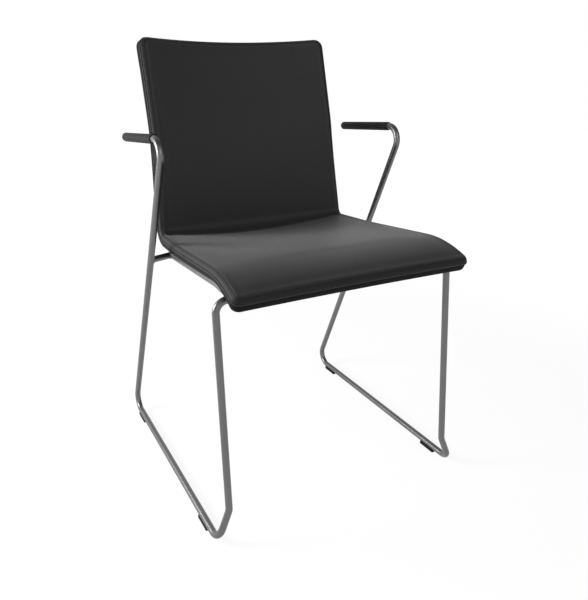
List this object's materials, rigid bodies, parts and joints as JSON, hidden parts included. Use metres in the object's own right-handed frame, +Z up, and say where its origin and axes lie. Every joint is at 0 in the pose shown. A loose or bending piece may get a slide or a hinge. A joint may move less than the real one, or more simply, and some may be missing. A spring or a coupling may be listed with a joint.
{
  "type": "sled base visitor chair",
  "caption": "Visitor chair with one upholstered seat and back shell on a bent rod frame with floor runners and sleeved arm rests.",
  "frame": {"origin": "on the floor, under the middle of the chair's box", "axes": "+Z up, the sitter looks along -Y, +X to the sitter's left"},
  "size_m": [0.523, 0.5578, 0.8229],
  "materials": {
    "panel_fabric": "matt woven cover, dark grey",
    "band_fabric": "matt woven side band, dark grey",
    "welt_fabric": "fabric covered cord along the seam",
    "under_fabric": "matt woven rear cover, near black",
    "foam": "open cell foam",
    "wadding": "thin fleece",
    "plywood": "moulded beech plywood, raw",
    "satin_steel": "satin silver powder coat on steel rod",
    "arm_sleeve": "soft satin black sleeve",
    "glide_plastic": "matt black plastic",
    "screw_steel": "blackened steel",
    "insert_steel": "zinc plated steel"
  },
  "bodies": {
    "root": {"front_cover": "panel_fabric", "side_band": "band_fabric", "seam_welt": "welt_fabric", "rear_cover": "under_fabric", "front_foam": "foam", "rear_wadding": "wadding", "plywood_shell": "plywood", "side_frame_left": "satin_steel", "side_frame_right": "satin_steel", "front_cross_rod": "satin_steel", "seat_rail_left": "satin_steel", "seat_rail_right": "satin_steel", "rear_stub_left": "satin_steel", "rear_stub_right": "satin_steel", "lug_front_left": "satin_steel", "lug_front_right": "satin_steel", "lug_rear_left": "satin_steel", "lug_rear_right": "satin_steel", "arm_pad_left": "arm_sleeve", "arm_pad_right": "arm_sleeve", "glide_front_left": "glide_plastic", "glide_front_right": "glide_plastic", "glide_rear_left": "glide_plastic", "glide_rear_right": "glide_plastic", "spacer_front_left": "glide_plastic", "spacer_front_right": "glide_plastic", "spacer_rear_left": "glide_plastic", "spacer_rear_right": "glide_plastic", "screw_front_left": "screw_steel", "screw_front_right": "screw_steel", "screw_rear_left": "screw_steel", "screw_rear_right": "screw_steel", "insert_front_left": "insert_steel", "insert_front_right": "insert_steel", "insert_rear_left": "insert_steel", "insert_rear_right": "insert_steel"}
  },
  "joints": []
}
